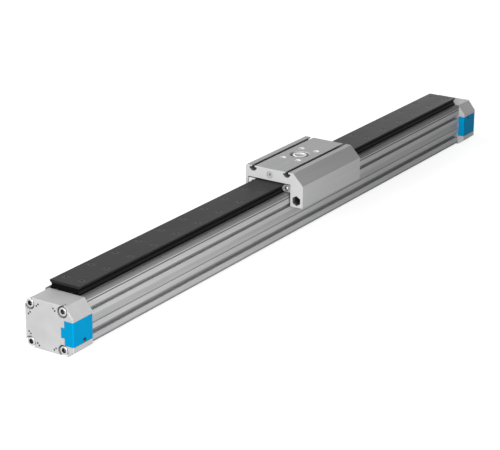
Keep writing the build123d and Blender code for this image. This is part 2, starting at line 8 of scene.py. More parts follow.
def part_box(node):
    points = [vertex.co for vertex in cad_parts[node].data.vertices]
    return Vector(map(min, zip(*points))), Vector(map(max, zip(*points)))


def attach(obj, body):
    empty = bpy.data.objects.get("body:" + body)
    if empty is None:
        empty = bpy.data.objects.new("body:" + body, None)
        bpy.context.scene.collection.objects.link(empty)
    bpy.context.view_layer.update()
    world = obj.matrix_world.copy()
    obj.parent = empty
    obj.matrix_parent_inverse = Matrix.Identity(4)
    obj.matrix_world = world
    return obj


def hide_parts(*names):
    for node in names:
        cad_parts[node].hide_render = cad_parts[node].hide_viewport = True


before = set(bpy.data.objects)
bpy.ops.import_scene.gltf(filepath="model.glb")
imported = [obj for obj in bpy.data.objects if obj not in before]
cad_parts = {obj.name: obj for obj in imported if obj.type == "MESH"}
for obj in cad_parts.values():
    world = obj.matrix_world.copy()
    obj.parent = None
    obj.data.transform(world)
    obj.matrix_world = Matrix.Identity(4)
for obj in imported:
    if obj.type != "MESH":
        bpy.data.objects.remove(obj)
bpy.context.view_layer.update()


# Profile barrel: one long aluminium extrusion, natural anodised, with a slot pair in each side.
# Its section is drawn point by point, each corner is broken by a small radius as a die leaves it,
# and Geometry Nodes fill the section and draw it out along the axis.
mm = 0.001
barrel_low, barrel_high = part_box("profile_barrel")
barrel_length = barrel_high.x - barrel_low.x
half_width = round(barrel_high.y / mm, 2)
barrel_top = round(barrel_high.z / mm, 2)
recess_low = 21.1
recess_high = 29.5
recess_floor = half_width - 0.8
die = 0.22
slot_corner = 0.4
foot_slot = (12.4, 5.6, 7.6, 2.0, 6.4)
sensor_slot = (37.25, 4.4, 6.6, 1.4, 5.2)


def slot_outline(mid, mouth, width, lip, depth):
    """Corners of an undercut slot in the +Y side, from its middle height and its sizes, in millimetres."""
    return [
        (half_width, mid - mouth / 2, die),
        (half_width - lip, mid - mouth / 2, die),
        (half_width - lip, mid - width / 2, die),
        (half_width - depth, mid - width / 2, slot_corner),
        (half_width - depth, mid + width / 2, slot_corner),
        (half_width - lip, mid + width / 2, die),
        (half_width - lip, mid + mouth / 2, die),
        (half_width, mid + mouth / 2, die),
    ]


def half_barrel_outline():
    """Corners of the section's +Y half from the base up, each with its corner radius, in millimetres."""
    base_groove = [(7.5, 0, die), (7.5, 0.7, die), (10.5, 0.7, die), (10.5, 0, die)]
    foot_bevel = [(half_width - 2.2, 0, 0.5), (half_width, 2.2, 0.5)]
    recess = [
        (half_width, recess_low, die),
        (recess_floor, recess_low, die),
        (recess_floor, recess_high, die),
        (half_width, recess_high, die),
    ]
    side_line = [
        (half_width, 46.05, die),
        (24.2, 46.15, 0.1),
        (24.2, 47.05, 0.1),
        (half_width, 47.15, die),
    ]
    shoulder_line = [
        (21.75, barrel_top, die),
        (21.75, 51.5, 0.1),
        (20.85, 51.5, 0.1),
        (20.85, barrel_top, die),
    ]
    rail_channel = [
        (12.05, barrel_top, die),
        (12.05, 42.2, 0.3),
        (6.95, 42.2, 0.3),
        (6.95, barrel_top, die),
    ]
    return (
        base_groove
        + foot_bevel
        + slot_outline(*foot_slot)
        + recess
        + slot_outline(*sensor_slot)
        + side_line
        + [(half_width, barrel_top, 2.6)]
        + shoulder_line
        + rail_channel
    )


def section_object(name, outlines):
    """A flat wire object from closed outlines of (across, up, corner radius) in millimetres."""
    wire = bmesh.new()
    corner = wire.verts.layers.float.new("corner")
    for outline in outlines:
        ring = []
        for across, up, radius in outline:
            vert = wire.verts.new((across * mm, up * mm, 0))
            vert[corner] = radius * mm
            ring.append(vert)
        for first, second in zip(ring, ring[1:] + ring[:1]):
            wire.edges.new((first, second))
    mesh = bpy.data.meshes.new(name)
    wire.to_mesh(mesh)
    wire.free()
    obj = bpy.data.objects.new(name, mesh)
    bpy.context.scene.collection.objects.link(obj)
    return obj


def ring_outline(across, up, radius, sides=16):
    """A round hole's outline as corners that the section's radii turn into a circle."""
    reach = radius / math.cos(math.pi / sides)
    turn = 2 * math.pi / sides
    return [
        (across + reach * math.cos(i * turn), up + reach * math.sin(i * turn), radius) for i in range(sides)
    ]


def add_node(tree, kind, **settings):
    """Adds a node to a tree and sets its own settings."""
    made = tree.nodes.new(kind)
    for key, value in settings.items():
        setattr(made, key, value)
    return made


def drawn_section_tree():
    """Tree that rounds a section's corners, fills it and draws it out along X."""
    tree = bpy.data.node_groups.new("drawn section", "GeometryNodeTree")
    face = tree.interface
    face.new_socket("Geometry", in_out="INPUT", socket_type="NodeSocketGeometry")
    face.new_socket("Length", in_out="INPUT", socket_type="NodeSocketFloat")
    face.new_socket("Start", in_out="INPUT", socket_type="NodeSocketFloat")
    face.new_socket("Corner steps", in_out="INPUT", socket_type="NodeSocketInt")
    face.new_socket("Finish", in_out="INPUT", socket_type="NodeSocketMaterial")
    face.new_socket("Geometry", in_out="OUTPUT", socket_type="NodeSocketGeometry")
    source = add_node(tree, "NodeGroupInput")
    curve = add_node(tree, "GeometryNodeMeshToCurve")
    radius = add_node(tree, "GeometryNodeInputNamedAttribute", data_type="FLOAT")
    radius.inputs["Name"].default_value = "corner"
    rounded = add_node(tree, "GeometryNodeFilletCurve", mode="POLY")
    rounded.inputs["Limit Radius"].default_value = True
    filled = add_node(tree, "GeometryNodeFillCurve", mode="TRIANGLES")
    drawn = add_node(tree, "GeometryNodeExtrudeMesh", mode="FACES")
    drawn.inputs["Individual"].default_value = False
    along = add_node(tree, "ShaderNodeCombineXYZ")
    along.inputs["Z"].default_value = 1
    flipped = add_node(tree, "GeometryNodeFlipFaces")
    joined = add_node(tree, "GeometryNodeJoinGeometry")
    merged = add_node(tree, "GeometryNodeMergeByDistance")
    merged.inputs["Distance"].default_value = 1e-6
    place = add_node(tree, "ShaderNodeCombineXYZ")
    turned = add_node(tree, "GeometryNodeTransform")
    turned.inputs["Rotation"].default_value = (math.pi / 2, 0, math.pi / 2)
    real = add_node(tree, "GeometryNodeRealizeInstances")
    finish = add_node(tree, "GeometryNodeSetMaterial")
    result = add_node(tree, "NodeGroupOutput")
    link = tree.links.new
    link(source.outputs["Geometry"], curve.inputs["Mesh"])
    link(curve.outputs["Curve"], rounded.inputs["Curve"])
    link(source.outputs["Corner steps"], rounded.inputs["Count"])
    link(radius.outputs["Attribute"], rounded.inputs["Radius"])
    link(rounded.outputs["Curve"], filled.inputs["Curve"])
    link(filled.outputs["Mesh"], drawn.inputs["Mesh"])
    link(along.outputs["Vector"], drawn.inputs["Offset"])
    link(source.outputs["Length"], drawn.inputs["Offset Scale"])
    link(filled.outputs["Mesh"], flipped.inputs["Mesh"])
    link(drawn.outputs["Mesh"], joined.inputs["Geometry"])
    link(flipped.outputs["Mesh"], joined.inputs["Geometry"])
    link(joined.outputs["Geometry"], merged.inputs["Geometry"])
    link(merged.outputs["Geometry"], turned.inputs["Geometry"])
    link(source.outputs["Start"], place.inputs["X"])
    link(place.outputs["Vector"], turned.inputs["Translation"])
    link(turned.outputs["Geometry"], real.inputs["Geometry"])
    link(real.outputs["Geometry"], finish.inputs["Geometry"])
    link(source.outputs["Finish"], finish.inputs["Material"])
    link(finish.outputs["Geometry"], result.inputs["Geometry"])
    return tree


def grown(obj, tree, **inputs):
    """Runs a node tree on an object and leaves the object with the plain mesh that it makes."""
    modifier = obj.modifiers.new("grown", "NODES")
    modifier.node_group = tree
    sockets = {s.name: s.identifier for s in tree.interface.items_tree if s.in_out == "INPUT"}
    for name, value in inputs.items():
        modifier[sockets[name.replace("_", " ")]] = value
    bpy.context.view_layer.update()
    seen = obj.evaluated_get(bpy.context.evaluated_depsgraph_get())
    mesh = bpy.data.meshes.new_from_object(seen)
    obj.modifiers.remove(modifier)
    obj.data = mesh
    if "corner" in mesh.attributes:
        mesh.attributes.remove(mesh.attributes["corner"])
    soften_shading(mesh)


def soften_shading(mesh, sharp_degrees=35):
    """Smooth shading with the real edges kept sharp."""
    mesh.polygons.foreach_set("use_smooth", [True] * len(mesh.polygons))
    mesh.set_sharp_from_angle(angle=math.radians(sharp_degrees))
    mesh.update()


def shader_start(name):
    """A new material with its tree, its shader and the object's own coordinates."""
    material = bpy.data.materials.new(name)
    material.use_nodes = True
    tree = material.node_tree
    shader = next(n for n in tree.nodes if n.type == "BSDF_PRINCIPLED")
    coords = add_node(tree, "ShaderNodeTexCoord")
    return material, tree, shader, coords.outputs["Object"]


def noise(tree, place, stretch, scale, detail, roughness):
    """Noise on the object's coordinates, stretched by the given factors along X, Y and Z."""
    mapping = add_node(tree, "ShaderNodeMapping")
    mapping.inputs["Scale"].default_value = stretch
    texture = add_node(tree, "ShaderNodeTexNoise")
    texture.inputs["Scale"].default_value = scale
    texture.inputs["Detail"].default_value = detail
    texture.inputs["Roughness"].default_value = roughness
    tree.links.new(place, mapping.inputs["Vector"])
    tree.links.new(mapping.outputs["Vector"], texture.inputs["Vector"])
    return texture.outputs["Fac"]


def spread(tree, value, low, high, from_low=0.25, from_high=0.75):
    """Spreads a value from one range to another."""
    mapped = add_node(tree, "ShaderNodeMapRange")
    mapped.inputs["From Min"].default_value = from_low
    mapped.inputs["From Max"].default_value = from_high
    mapped.inputs["To Min"].default_value = low
    mapped.inputs["To Max"].default_value = high
    tree.links.new(value, mapped.inputs["Value"])
    return mapped.outputs["Result"]


def tint(tree, value, dark, light):
    """Colour between two tones by a value from 0 to 1."""
    mix = add_node(tree, "ShaderNodeMix", data_type="RGBA")
    tree.links.new(value, mix.inputs["Factor"])
    mix.inputs["A"].default_value = (*dark, 1)
    mix.inputs["B"].default_value = (*light, 1)
    return mix.outputs["Result"]


def raise_by(tree, shader, heights, normal=None):
    """Stacks bumps on a shader, pairs of a height value and its depth in metres.
    They lie over a first normal, if one is given."""
    for value, depth in heights:
        bump = add_node(tree, "ShaderNodeBump")
        bump.inputs["Strength"].default_value = 1
        bump.inputs["Distance"].default_value = depth
        tree.links.new(value, bump.inputs["Height"])
        if normal is not None:
            tree.links.new(normal, bump.inputs["Normal"])
        normal = bump.outputs["Normal"]
    tree.links.new(normal, shader.inputs["Normal"])


def painted_hollow_shade(tree, colour, reach, shade_tone, from_low, from_high):
    """Colour with painted shade: it goes down to a darker tone in narrow channels and hollows."""
    # Painted shade: the darker tone follows how closed in each point is.
    closed = add_node(tree, "ShaderNodeAmbientOcclusion", only_local=True, samples=6)
    closed.inputs["Distance"].default_value = reach
    mix = add_node(tree, "ShaderNodeMix", data_type="RGBA")
    mix.inputs["A"].default_value = (*shade_tone, 1)
    tree.links.new(spread(tree, closed.outputs["AO"], 0, 1, from_low, from_high), mix.inputs["Factor"])
    tree.links.new(colour, mix.inputs["B"])
    return mix.outputs["Result"]


def facing(tree, axis, from_low, from_high):
    """How far the surface faces along one axis, either way, spread from 0 to 1."""
    geometry = add_node(tree, "ShaderNodeNewGeometry")
    parts = add_node(tree, "ShaderNodeSeparateXYZ")
    size = add_node(tree, "ShaderNodeMath", operation="ABSOLUTE")
    tree.links.new(geometry.outputs["Normal"], parts.inputs["Vector"])
    tree.links.new(parts.outputs[axis], size.inputs[0])
    return spread(tree, size.outputs[0], 0, 1, from_low, from_high)


def anodised_extrusion(name, dark, light, cut_tone, line_depth, shade):
    """Natural anodised aluminium with die lines along X, faint blotches, a fine etch and paler cut ends.
    The last value is a function that paints shade into the colour where this piece is deep or narrow."""
    material, tree, shader, place = shader_start(name)
    lines = noise(tree, place, (0.012, 1, 1), scale=1700, detail=3, roughness=0.7)
    broad = noise(tree, place, (0.03, 1, 1), scale=160, detail=2, roughness=0.5)
    cloud = noise(tree, place, (0.4, 1, 1), scale=22, detail=4, roughness=0.6)
    etch = noise(tree, place, (1, 1, 1), scale=5200, detail=2, roughness=0.6)
    lines_and_broad = add_node(tree, "ShaderNodeMath", operation="ADD")
    tree.links.new(spread(tree, lines, 0, 0.5), lines_and_broad.inputs[0])
    tree.links.new(spread(tree, broad, 0, 0.5), lines_and_broad.inputs[1])
    cut = add_node(tree, "ShaderNodeMix", data_type="RGBA")
    cut.inputs["B"].default_value = (*cut_tone, 1)
    tree.links.new(tint(tree, lines_and_broad.outputs[0], dark, light), cut.inputs["A"])
    tree.links.new(facing(tree, "X", 0.85, 0.97), cut.inputs["Factor"])
    tree.links.new(shade(tree, place, cut.outputs["Result"]), shader.inputs["Base Color"])
    tree.links.new(spread(tree, cloud, 0.38, 0.5), shader.inputs["Roughness"])
    shader.inputs["Metallic"].default_value = 0.02
    shader.inputs["Specular IOR Level"].default_value = 0.06
    raise_by(tree, shader, ((lines, line_depth), (etch, 0.000006)))
    return material


def banded(tree, value, stops):
    """Grey level that follows stops of (place, level) along a value."""
    ramp = add_node(tree, "ShaderNodeValToRGB")
    first, last = stops[0][0], stops[-1][0]
    points = ramp.color_ramp.elements
    for at, level in stops[1:-1]:
        points.new((at - first) / (last - first)).color = (level, level, level, 1)
    points[0].color = (stops[0][1],) * 3 + (1,)
    points[-1].color = (stops[-1][1],) * 3 + (1,)
    tree.links.new(spread(tree, value, 0, 1, first * mm, last * mm), ramp.inputs["Fac"])
    return ramp.outputs["Color"]


def profile_shade(tree, place, colour):
    """Painted shade on the profile: darker in its recess and more so in its slots, by how far out and how
    high a point is.
    The shoulder beside the rail, in the rail's shadow, the foot's bevel and its narrow grooves get painted
    shade too."""
    parts = add_node(tree, "ShaderNodeSeparateXYZ")
    across = add_node(tree, "ShaderNodeMath", operation="ABSOLUTE")
    tree.links.new(place, parts.inputs["Vector"])
    tree.links.new(parts.outputs["Y"], across.inputs[0])
    # Painted shade: darker levels by depth into the side and by height, for the recess, slots, grooves,
    # foot bevel and shoulder.
    by_depth = (
        (17, 0.62), (20, 0.66), (20.8, 0.94), (22.6, 1), (23.6, 0.95), (24.3, 0.84), (24.84, 0.98),
        (half_width, 1),
    )
    by_height = (
        (0, 0.45), (3.2, 0.5), (4.2, 1), (21.05, 1), (21.15, 0.55), (21.8, 0.6), (22.2, 1), (45.5, 1),
        (45.8, 0.5), (47.0, 0.45), (47.2, 1), (48.2, 1), (48.7, 0.45),
        (barrel_top, 0.42),
    )
    # Painted shade in the narrow grooves and corners.
    shaded = painted_hollow_shade(tree, colour, 0.0022, (0.5, 0.5, 0.5), 0.2, 0.9)
    for level in (banded(tree, across.outputs[0], by_depth), banded(tree, parts.outputs["Z"], by_height)):
        mix = add_node(tree, "ShaderNodeMix", data_type="RGBA", blend_type="MULTIPLY")
        mix.inputs["Factor"].default_value = 1
        tree.links.new(shaded, mix.inputs["A"])
        tree.links.new(level, mix.inputs["B"])
        shaded = mix.outputs["Result"]
    return shaded


drawn_section = drawn_section_tree()
barrel_finish = anodised_extrusion(
    "natural anodised profile",
    dark=(0.48, 0.48, 0.485),
    light=(0.7, 0.7, 0.705),
    cut_tone=(0.6, 0.6, 0.6),
    line_depth=0.00005,
    shade=profile_shade,
)
half = half_barrel_outline()
whole = half + [(-across, up, radius) for across, up, radius in reversed(half)]
barrel_bore = ring_outline(0, 24.5, 16)
screw_channels = [ring_outline(across, up, 2.5, 8) for across in (-20.3, 20.3) for up in (5.3, 45.9)]
barrel = section_object("barrel_profile", [whole, barrel_bore] + screw_channels)
grown(
    barrel,
    drawn_section,
    Length=barrel_length,
    Start=barrel_low.x,
    Corner_steps=4,
    Finish=barrel_finish,
)
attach(barrel, "axis_frame")
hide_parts("profile_barrel")


# Guide rail: a flat bar with a V notch along each side, hard anodised black with a satin sheen.
# The solid is right as it stands, so it only gets its finish: long drawing marks, a top painted paler with
# more specular as a painted sheen, a paler lip over the notch, whose near-black tone is painted shade, and
# a fine grain.
def black_anodised():
    """Black hard anodised finish with long marks along X. Where it faces up, a paler colour and a higher
    specular level are a painted sheen.
    The lip's edge is paler than the notch and the feet below it, which are painted near-black as painted
    shade."""
    lip_height = (0.0584, 0.059)
    material, tree, shader, place = shader_start("black hard anodised rail")
    marks = noise(tree, place, (0.02, 1, 1), scale=900, detail=4, roughness=0.7)
    rubbed = noise(tree, place, (0.25, 1, 1), scale=60, detail=5, roughness=0.65)
    grain = noise(tree, place, (1, 1, 1), scale=4200, detail=3, roughness=0.6)
    # Painted sheen: faces that face up get a paler colour and a higher specular level.
    top_sheen = facing(tree, "Z", 0.55, 0.95)
    colour = add_node(tree, "ShaderNodeMix", data_type="RGBA")
    parts = add_node(tree, "ShaderNodeSeparateXYZ")
    lip = add_node(tree, "ShaderNodeMix", data_type="RGBA")
    lip.inputs["B"].default_value = (0.028, 0.028, 0.0285, 1)
    tree.links.new(place, parts.inputs["Vector"])
    # Painted shade: the notch and the feet below the lip are painted near-black.
    shaded_notch_tone = tint(tree, spread(tree, marks, 0, 1), (0.003, 0.003, 0.0031), (0.006, 0.006, 0.0062))
    sheen_top_tone = tint(tree, spread(tree, rubbed, 0, 1), (0.016, 0.016, 0.0163), (0.031, 0.031, 0.0318))
    tree.links.new(spread(tree, parts.outputs["Z"], 0, 1, *lip_height), lip.inputs["Factor"])
    tree.links.new(shaded_notch_tone, lip.inputs["A"])
    tree.links.new(top_sheen, colour.inputs["Factor"])
    tree.links.new(lip.outputs["Result"], colour.inputs["A"])
    tree.links.new(sheen_top_tone, colour.inputs["B"])
    tree.links.new(colour.outputs["Result"], shader.inputs["Base Color"])
    tree.links.new(spread(tree, rubbed, 0.36, 0.5), shader.inputs["Roughness"])
    tree.links.new(spread(tree, top_sheen, 0.02, 0.1, 0, 1), shader.inputs["Specular IOR Level"])
    raise_by(tree, shader, ((marks, 0.000015), (grain, 0.000005)))
    return material


def dress(node, material):
    """Gives a CAD solid its finish in every slot that it has."""
    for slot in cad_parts[node].material_slots:
        slot.material = material


dress("guide_rail", black_anodised())


# Rail screws: forty small countersunk screws with black oxide and a hexagon socket, sunk just under the
# rail's top. One screw is turned up from its rings, and Geometry Nodes lay it out in pairs along the rail,
# each turned by its own seeded angle.
merge_within = 0.002 * mm


def turned_piece(name, rings, sides=24):
    """A closed turned piece about Z from rings of (radius, height, shape), in millimetres, tip to tip.
    Its points carry how deep they lie in the socket, for the finish to read."""
    dark_from = 1.2
    knurl_depth = 0.16
    hexagon = math.pi / 3
    shape = bmesh.new()
    sunk = shape.verts.layers.float.new("sunk")
    loops = []
    socket_mouth = None
    for radius, height, form in rings:
        if form == "hexagon" and socket_mouth is None:
            socket_mouth = height
        depth = 0 if socket_mouth is None else min(1, abs(socket_mouth - height) / dark_from)
        if radius == 0:
            loops.append([shape.verts.new((0, 0, height * mm))])
            loops[-1][0][sunk] = depth
            continue
        loop = []
        for i in range(sides):
            angle = 2 * math.pi * i / sides
            reach = radius * mm
            if form == "hexagon":
                reach /= math.cos((angle + hexagon / 2) % hexagon - hexagon / 2)
            if form == "knurl" and i % 2:
                reach -= knurl_depth * mm
            vert = shape.verts.new((reach * math.cos(angle), reach * math.sin(angle), height * mm))
            vert[sunk] = depth
            loop.append(vert)
        loops.append(loop)
    for lower, upper in zip(loops, loops[1:]):
        for i in range(sides):
            j = (i + 1) % sides
            below = [lower[i % len(lower)], lower[j % len(lower)]]
            above = [upper[j % len(upper)], upper[i % len(upper)]]
            shape.faces.new(list(dict.fromkeys(below + above)))
    bmesh.ops.remove_doubles(shape, verts=shape.verts, dist=merge_within)
    bmesh.ops.recalc_face_normals(shape, faces=shape.faces)
    mesh = bpy.data.meshes.new(name)
    shape.to_mesh(mesh)
    shape.free()
    obj = bpy.data.objects.new(name, mesh)
    bpy.context.scene.collection.objects.link(obj)
    return obj


def laid_out_tree():
    """Tree that stands copies of a piece on a grid, each turned about its own axis by a seeded angle."""
    tree = bpy.data.node_groups.new("laid out pieces", "GeometryNodeTree")
    face = tree.interface
    face.new_socket("Geometry", in_out="INPUT", socket_type="NodeSocketGeometry")
    face.new_socket("Piece", in_out="INPUT", socket_type="NodeSocketObject")
    face.new_socket("Span along", in_out="INPUT", socket_type="NodeSocketFloat")
    face.new_socket("Span across", in_out="INPUT", socket_type="NodeSocketFloat")
    face.new_socket("Count along", in_out="INPUT", socket_type="NodeSocketInt")
    face.new_socket("Count across", in_out="INPUT", socket_type="NodeSocketInt")
    face.new_socket("Seed", in_out="INPUT", socket_type="NodeSocketInt")
    face.new_socket("Tilt", in_out="INPUT", socket_type="NodeSocketVector")
    face.new_socket("Place", in_out="INPUT", socket_type="NodeSocketVector")
    face.new_socket("Finish", in_out="INPUT", socket_type="NodeSocketMaterial")
    face.new_socket("Geometry", in_out="OUTPUT", socket_type="NodeSocketGeometry")
    source = add_node(tree, "NodeGroupInput")
    grid = add_node(tree, "GeometryNodeMeshGrid")
    piece = add_node(tree, "GeometryNodeObjectInfo")
    angle = add_node(tree, "FunctionNodeRandomValue", data_type="FLOAT")
    angle.inputs[3].default_value = 2 * math.pi
    spin = add_node(tree, "ShaderNodeCombineXYZ")
    stand = add_node(tree, "GeometryNodeInstanceOnPoints")
    real = add_node(tree, "GeometryNodeRealizeInstances")
    move = add_node(tree, "GeometryNodeTransform")
    finish = add_node(tree, "GeometryNodeSetMaterial")
    result = add_node(tree, "NodeGroupOutput")
    link = tree.links.new
    link(source.outputs["Span along"], grid.inputs["Size X"])
    link(source.outputs["Span across"], grid.inputs["Size Y"])
    link(source.outputs["Count along"], grid.inputs["Vertices X"])
    link(source.outputs["Count across"], grid.inputs["Vertices Y"])
    link(source.outputs["Piece"], piece.inputs["Object"])
    link(source.outputs["Seed"], angle.inputs["Seed"])
    link(angle.outputs[1], spin.inputs["Z"])
    link(grid.outputs["Mesh"], stand.inputs["Points"])
    link(piece.outputs["Geometry"], stand.inputs["Instance"])
    link(spin.outputs["Vector"], stand.inputs["Rotation"])
    link(stand.outputs["Instances"], move.inputs["Geometry"])
    link(source.outputs["Tilt"], move.inputs["Rotation"])
    link(source.outputs["Place"], move.inputs["Translation"])
    link(move.outputs["Geometry"], real.inputs["Geometry"])
    link(real.outputs["Geometry"], finish.inputs["Geometry"])
    link(source.outputs["Finish"], finish.inputs["Material"])
    link(finish.outputs["Geometry"], result.inputs["Geometry"])
    return tree


laid_out = laid_out_tree()


def lay_out(name, piece, finish, place, seed, counts=(1, 1), spans=(0, 0), tilt=(0, 0, 0)):
    """Makes one object of copies of a turned piece, at a place in millimetres.
    The spans are from the first copy to the last, along X and across it before the tilt."""
    carrier = bpy.data.objects.new(name, bpy.data.meshes.new(name))
    bpy.context.scene.collection.objects.link(carrier)
    grown(
        carrier,
        laid_out,
        Piece=piece,
        Span_along=spans[0] * mm,
        Span_across=spans[1] * mm,
        Count_along=counts[0],
        Count_across=counts[1],
        Seed=seed,
        Tilt=tilt,
        Place=[value * mm for value in place],
        Finish=finish,
    )
    return carrier


def turned_metal(name, dark, light, rough, metallic, socket=1.0):
    """Small turned steel: fine grain with uneven polish, and a socket painted darker, as painted shade, to
    a share of the rest's tone.
    """
    material, tree, shader, place = shader_start(name)
    polish = noise(tree, place, (1, 1, 1), scale=700, detail=4, roughness=0.6)
    grain = noise(tree, place, (1, 1, 1), scale=6500, detail=2, roughness=0.6)
    sunk = add_node(tree, "ShaderNodeAttribute", attribute_name="sunk")
    # Painted shade: the deeper a point lies in the socket, the nearer its colour goes to the socket's dark
    # tone.
    socket_shaded = add_node(tree, "ShaderNodeMix", data_type="RGBA")
    tree.links.new(sunk.outputs["Fac"], socket_shaded.inputs["Factor"])
    tree.links.new(tint(tree, spread(tree, polish, 0, 1), dark, light), socket_shaded.inputs["A"])
    socket_shaded.inputs["B"].default_value = (*(tone * socket for tone in dark), 1)
    tree.links.new(socket_shaded.outputs["Result"], shader.inputs["Base Color"])
    tree.links.new(spread(tree, polish, rough - 0.06, rough + 0.08), shader.inputs["Roughness"])
    shader.inputs["Metallic"].default_value = metallic
    shader.inputs["Specular IOR Level"].default_value = 0.2
    raise_by(tree, shader, ((grain, 0.000006),))
    return material


black_oxide = turned_metal(
    "black oxide steel", (0.019, 0.019, 0.0195), (0.031, 0.031, 0.032), rough=0.45, metallic=0, socket=0.5
)
rail_screw_pitch = 40
rail_screw_rows = 19
rail_top = round(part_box("guide_rail")[1].z / mm, 2)
rail_screw_heads = rail_top - 0.2
rail_screw = turned_piece("rail_screw_pattern", [
    (0, -17.0, "round"),
    (2.1, -17.0, "round"),
    (2.5, -16.5, "round"),
    (2.5, -2.0, "round"),
    (4.7, -0.05, "round"),
    (4.65, 0.05, "round"),
    (1.1, 0.05, "hexagon"),
    (1.0, -0.05, "hexagon"),
    (1.0, -0.45, "hexagon"),
    (0, -0.5, "round"),
])
rail_screws = lay_out(
    "rail_screw_rows",
    rail_screw,
    black_oxide,
    (0, 0, rail_screw_heads),
    seed=7,
    counts=(20, 2),
    spans=(19 * rail_screw_pitch, rail_screw_rows),
)
bpy.data.objects.remove(rail_screw)
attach(rail_screws, "axis_frame")
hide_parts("rail_screws")


# End caps: two aluminium castings, blasted and lacquered light grey, with their corners planed off.
# The solids stay, with a finish that rounds their cast edges softly and paints shade into the punch
# marks, round the screws and in the other hollows.
def blasted_casting():
    """Light grey blasted casting under a thin clear lacquer, with its edges softened and painted shade in
    its hollows.
    """
    material, tree, shader, place = shader_start("blasted cast aluminium")
    grain = noise(tree, place, (1, 1, 1), scale=3000, detail=4, roughness=0.65)
    pits = noise(tree, place, (1, 1, 1), scale=900, detail=3, roughness=0.6)
    cloud = noise(tree, place, (1, 1, 1), scale=45, detail=3, roughness=0.5)
    soft_edges = add_node(tree, "ShaderNodeBevel", samples=6)
    soft_edges.inputs["Radius"].default_value = 0.0004
    metal = tint(tree, spread(tree, cloud, 0, 1), (0.54, 0.54, 0.545), (0.62, 0.62, 0.625))
    # Painted shade: the casting goes down to a near-black tone in its hollows.
    hollow_shaded = painted_hollow_shade(tree, metal, 0.007, (0.02, 0.02, 0.021), 0.3, 0.8)
    tree.links.new(hollow_shaded, shader.inputs["Base Color"])
    tree.links.new(spread(tree, grain, 0.42, 0.6), shader.inputs["Roughness"])
    shader.inputs["Metallic"].default_value = 0.05
    shader.inputs["Specular IOR Level"].default_value = 0.3
    raise_by(tree, shader, ((pits, 0.00003), (grain, 0.00002)), soft_edges.outputs["Normal"])
    return material


cap_finish = blasted_casting()
dress("near_cap", cap_finish)
dress("far_cap", cap_finish)


# Side covers: blue moulded clips folded round each cap's edge, with a round-ended notch to prise them off.
# They are the solids with softly rounded moulded edges, in plastic with a fine spark grain.
def rounded_copy(node, name, radius, shortest=0.0):
    """A copy of a solid whose outer edges are broken by a small radius, down to the shortest edge given."""
    flat_within = math.radians(0.5)
    corner_from = math.radians(32)
    shape = bmesh.new()
    shape.from_mesh(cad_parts[node].data)
    bmesh.ops.remove_doubles(shape, verts=shape.verts, dist=merge_within)
    bmesh.ops.dissolve_limit(
        shape,
        angle_limit=flat_within,
        verts=shape.verts,
        edges=shape.edges,
        use_dissolve_boundaries=False,
    )
    weight = shape.edges.layers.float.new("bevel_weight_edge")
    for edge in shape.edges:
        if edge.is_convex and edge.calc_length() > shortest * mm and edge.calc_face_angle(0) > corner_from:
            edge[weight] = 1
    mesh = bpy.data.meshes.new(name)
    shape.to_mesh(mesh)
    shape.free()
    mesh.polygons.foreach_set("use_smooth", [True] * len(mesh.polygons))
    obj = bpy.data.objects.new(name, mesh)
    bpy.context.scene.collection.objects.link(obj)
    broken = obj.modifiers.new("broken edges", "BEVEL")
    broken.width = radius * mm
    broken.segments = 3
    broken.limit_method = "WEIGHT"
    broken.use_clamp_overlap = False
    broken.miter_outer = "MITER_ARC"
    settle(obj)
    fill_flats_anew(obj.data)
    soften_shading(obj.data, 44)
    flat = obj.modifiers.new("flat faces", "WEIGHTED_NORMAL")
    flat.keep_sharp = True
    flat.weight = 100
    settle(obj)
    obj.data.materials.clear()
    return obj


def settle(obj):
    """Leaves an object with the plain mesh that its modifiers make."""
    bpy.context.view_layer.update()
    made = bpy.data.meshes.new_from_object(obj.evaluated_get(bpy.context.evaluated_depsgraph_get()))
    obj.modifiers.clear()
    obj.data = made


def fill_flats_anew(mesh):
    """Fills each large flat side from its rims, so that no facet folds over where an edge was broken."""
    many_corners = 9
    shape = bmesh.new()
    shape.from_mesh(mesh)
    shape.normal_update()
    for start in list(shape.faces):
        if not start.is_valid or len(start.verts) < many_corners:
            continue
        outward = start.normal.copy()
        level = start.verts[0].co.dot(outward)
        flat = [start]
        for found in flat:
            for edge in found.edges:
                for face in edge.link_faces:
                    off = max(abs(vert.co.dot(outward) - level) for vert in face.verts)
                    if off < merge_within and face not in flat:
                        flat.append(face)
        edges = list(dict.fromkeys(edge for face in flat for edge in face.edges))
        inner = [edge for edge in edges if all(face in flat for face in edge.link_faces)]
        rims = [edge for edge in edges if edge not in inner]
        bmesh.ops.delete(shape, geom=flat, context="FACES_ONLY")
        bmesh.ops.delete(shape, geom=inner, context="EDGES")
        bmesh.ops.triangle_fill(shape, use_beauty=True, edges=rims, normal=outward)
    bmesh.ops.recalc_face_normals(shape, faces=shape.faces)
    mesh.clear_geometry()
    shape.to_mesh(mesh)
    shape.free()
    if "custom_normal" in mesh.attributes:
        mesh.attributes.remove(mesh.attributes["custom_normal"])
    mesh.update()


def moulded_blue():
    """Matte moulded plastic with a spark grain and slight flow clouds."""
    material, tree, shader, place = shader_start("blue moulded plastic")
    grain = noise(tree, place, (1, 1, 1), scale=2600, detail=4, roughness=0.7)
    flow = noise(tree, place, (1, 1, 0.4), scale=70, detail=3, roughness=0.5)
    blue = tint(tree, spread(tree, flow, 0, 1), (0.0, 0.32, 0.63), (0.0, 0.355, 0.69))
    tree.links.new(blue, shader.inputs["Base Color"])
    tree.links.new(spread(tree, grain, 0.38, 0.55), shader.inputs["Roughness"])
    shader.inputs["Specular IOR Level"].default_value = 0.03
    raise_by(tree, shader, ((grain, 0.000014),))
    return material


ends = (("near", -1), ("far", 1))
cover_finish = moulded_blue()
for end, _ in ends:
    cover = rounded_copy(f"{end}_side_cover", f"{end}_blue_cover", radius=0.35)
    cover.data.materials.append(cover_finish)
    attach(cover, "axis_frame")
    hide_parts(f"{end}_side_cover")


